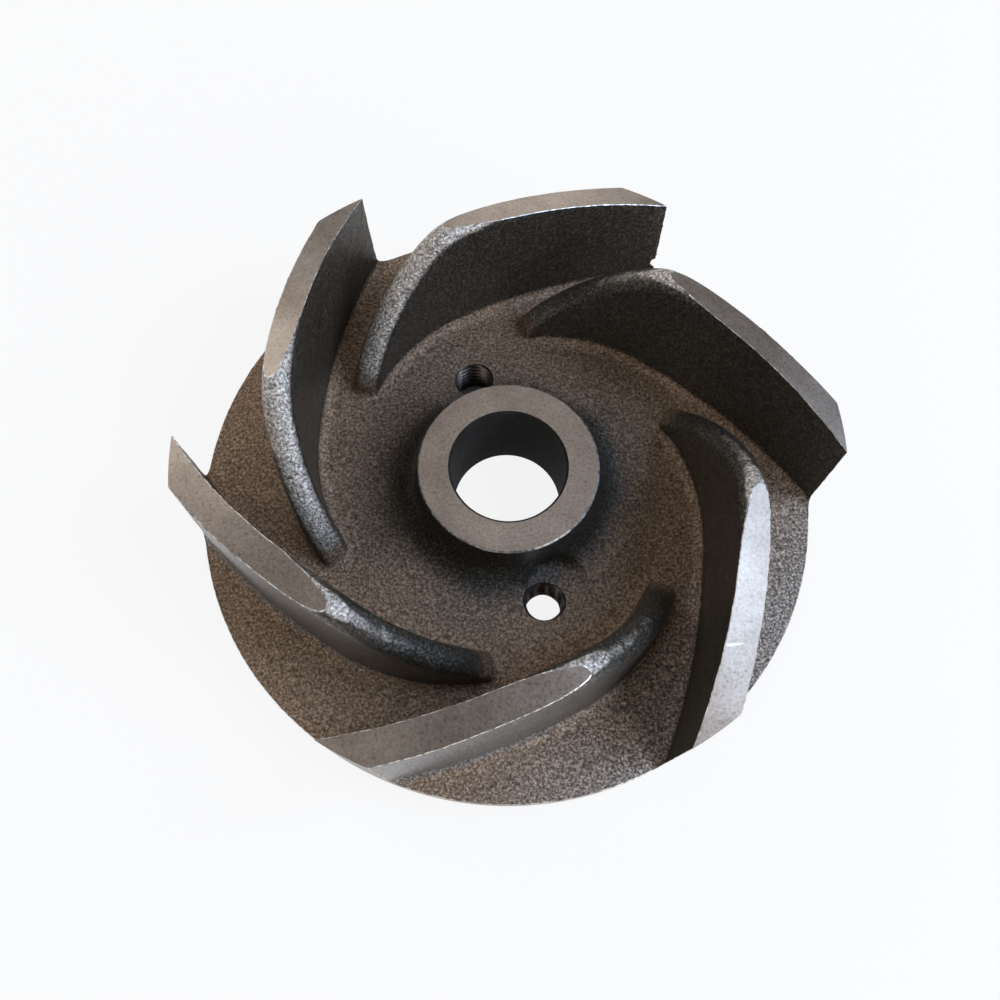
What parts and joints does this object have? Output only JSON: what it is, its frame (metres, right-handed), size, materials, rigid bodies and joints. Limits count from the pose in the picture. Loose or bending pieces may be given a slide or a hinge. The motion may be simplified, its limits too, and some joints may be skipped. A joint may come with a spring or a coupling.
{
  "type": "pump impeller",
  "caption": "Semi-open cast iron pump impeller: a ring of thick backward-curved vanes on a back disc, with a bored hub and tapped puller holes beside it.",
  "frame": {"origin": "on the pump shaft's axis, in the plane of the flat back boss face", "axes": "+Z along the bore axis from the back boss towards the vane side, the side the liquid enters from; +X towards the rim just before the outer end of one vane"},
  "size_m": [0.1396, 0.1396, 0.0441],
  "materials": {
    "cast_iron": "rough dark sand-cast skin, satin grey where turned"
  },
  "bodies": {
    "root": {"impeller": "cast_iron"}
  },
  "joints": []
}
